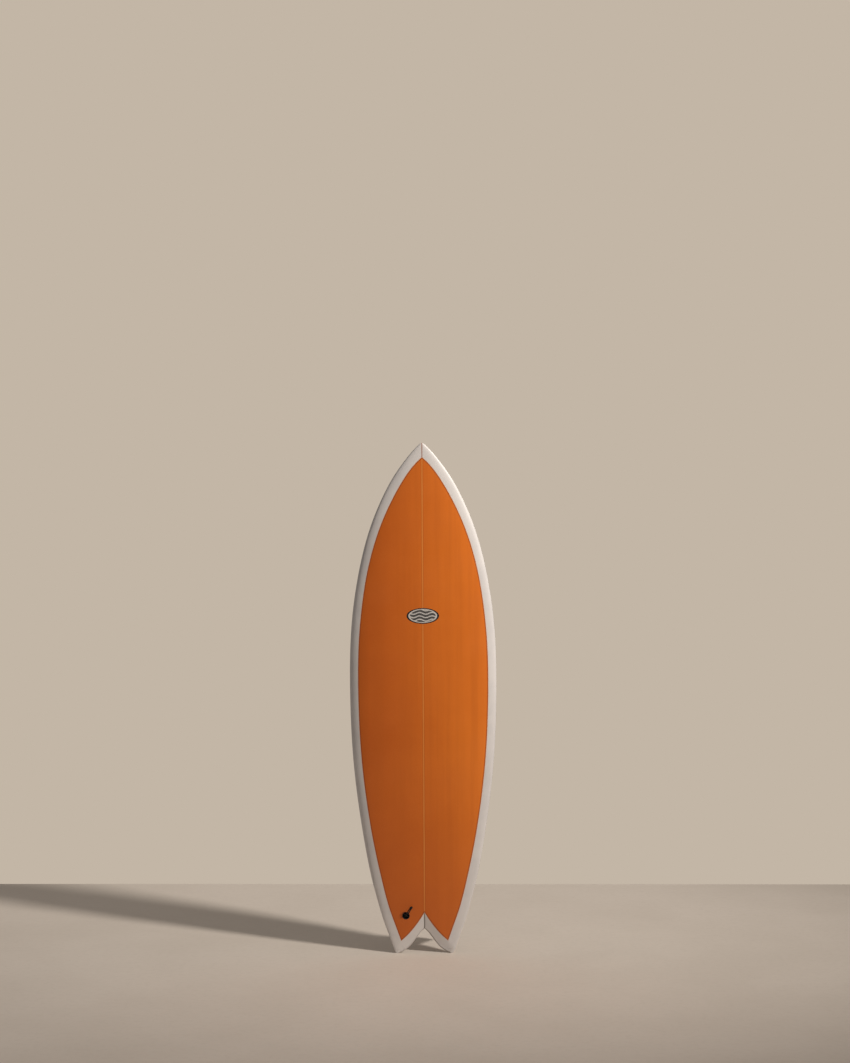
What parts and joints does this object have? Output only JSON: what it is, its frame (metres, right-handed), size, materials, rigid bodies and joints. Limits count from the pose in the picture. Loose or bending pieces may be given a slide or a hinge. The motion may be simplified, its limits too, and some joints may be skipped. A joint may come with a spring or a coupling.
{
  "type": "surfboard",
  "caption": "Swallow-tail fish surfboard with a foam core on a wooden stringer, tinted deck, leash plug with cord loop and removable keel fins.",
  "frame": {"origin": "middle of the whole board's box in X and Y, on the plane of the two tail tips that it stands on", "axes": "+Z from the tail tips to the nose, +X to the right seen from the deck, deck faces -Y, bottom and fins face +Y"},
  "size_m": [0.5346, 0.21, 1.854],
  "materials": {
    "foam": "fine closed-cell foam",
    "stringer_wood": "thin straight-grained wood",
    "tinted_laminate": "burnt-orange resin tint over glass cloth, satin",
    "white_laminate": "off-white pigmented resin over glass cloth, satin",
    "emblem": "printed tissue under resin",
    "black_plastic": "moulded, fine texture",
    "steel": "turned stainless",
    "cord": "braided nylon cord",
    "fin_laminate": "polished glass-fibre laminate, satin"
  },
  "bodies": {
    "board": {"foam_blank_left": "foam", "foam_blank_right": "foam", "stringer": "stringer_wood", "deck_inlay": "tinted_laminate", "bottom_laminate": "white_laminate", "emblem_print": "emblem", "leash_plug_cup": "black_plastic", "leash_plug_pin": "steel", "fin_box_left": "black_plastic", "fin_box_right": "black_plastic", "fin_screws_left": "steel", "fin_screws_right": "steel"},
    "leash": {"leash_loop": "cord", "leash_loop_knot": "cord"},
    "fin_left": {"keel_fin_left": "fin_laminate"},
    "fin_right": {"keel_fin_right": "fin_laminate"}
  },
  "joints": [
    {"name": "leash_swing", "type": "hinge", "parent": "board", "child": "leash", "pos_m": [-0.06723, -0.0406, 0.13708], "axis": [0.8564, -0.0275, -0.5156], "range_deg": [-5, 50]},
    {"name": "fin_left_slide", "type": "slide", "parent": "board", "child": "fin_left", "axis": [-0.1045, 0.9913, -0.0802], "range_m": [0, 0.03]},
    {"name": "fin_right_slide", "type": "slide", "parent": "board", "child": "fin_right", "axis": [0.1045, 0.9913, -0.0802], "range_m": [0, 0.03]}
  ]
}
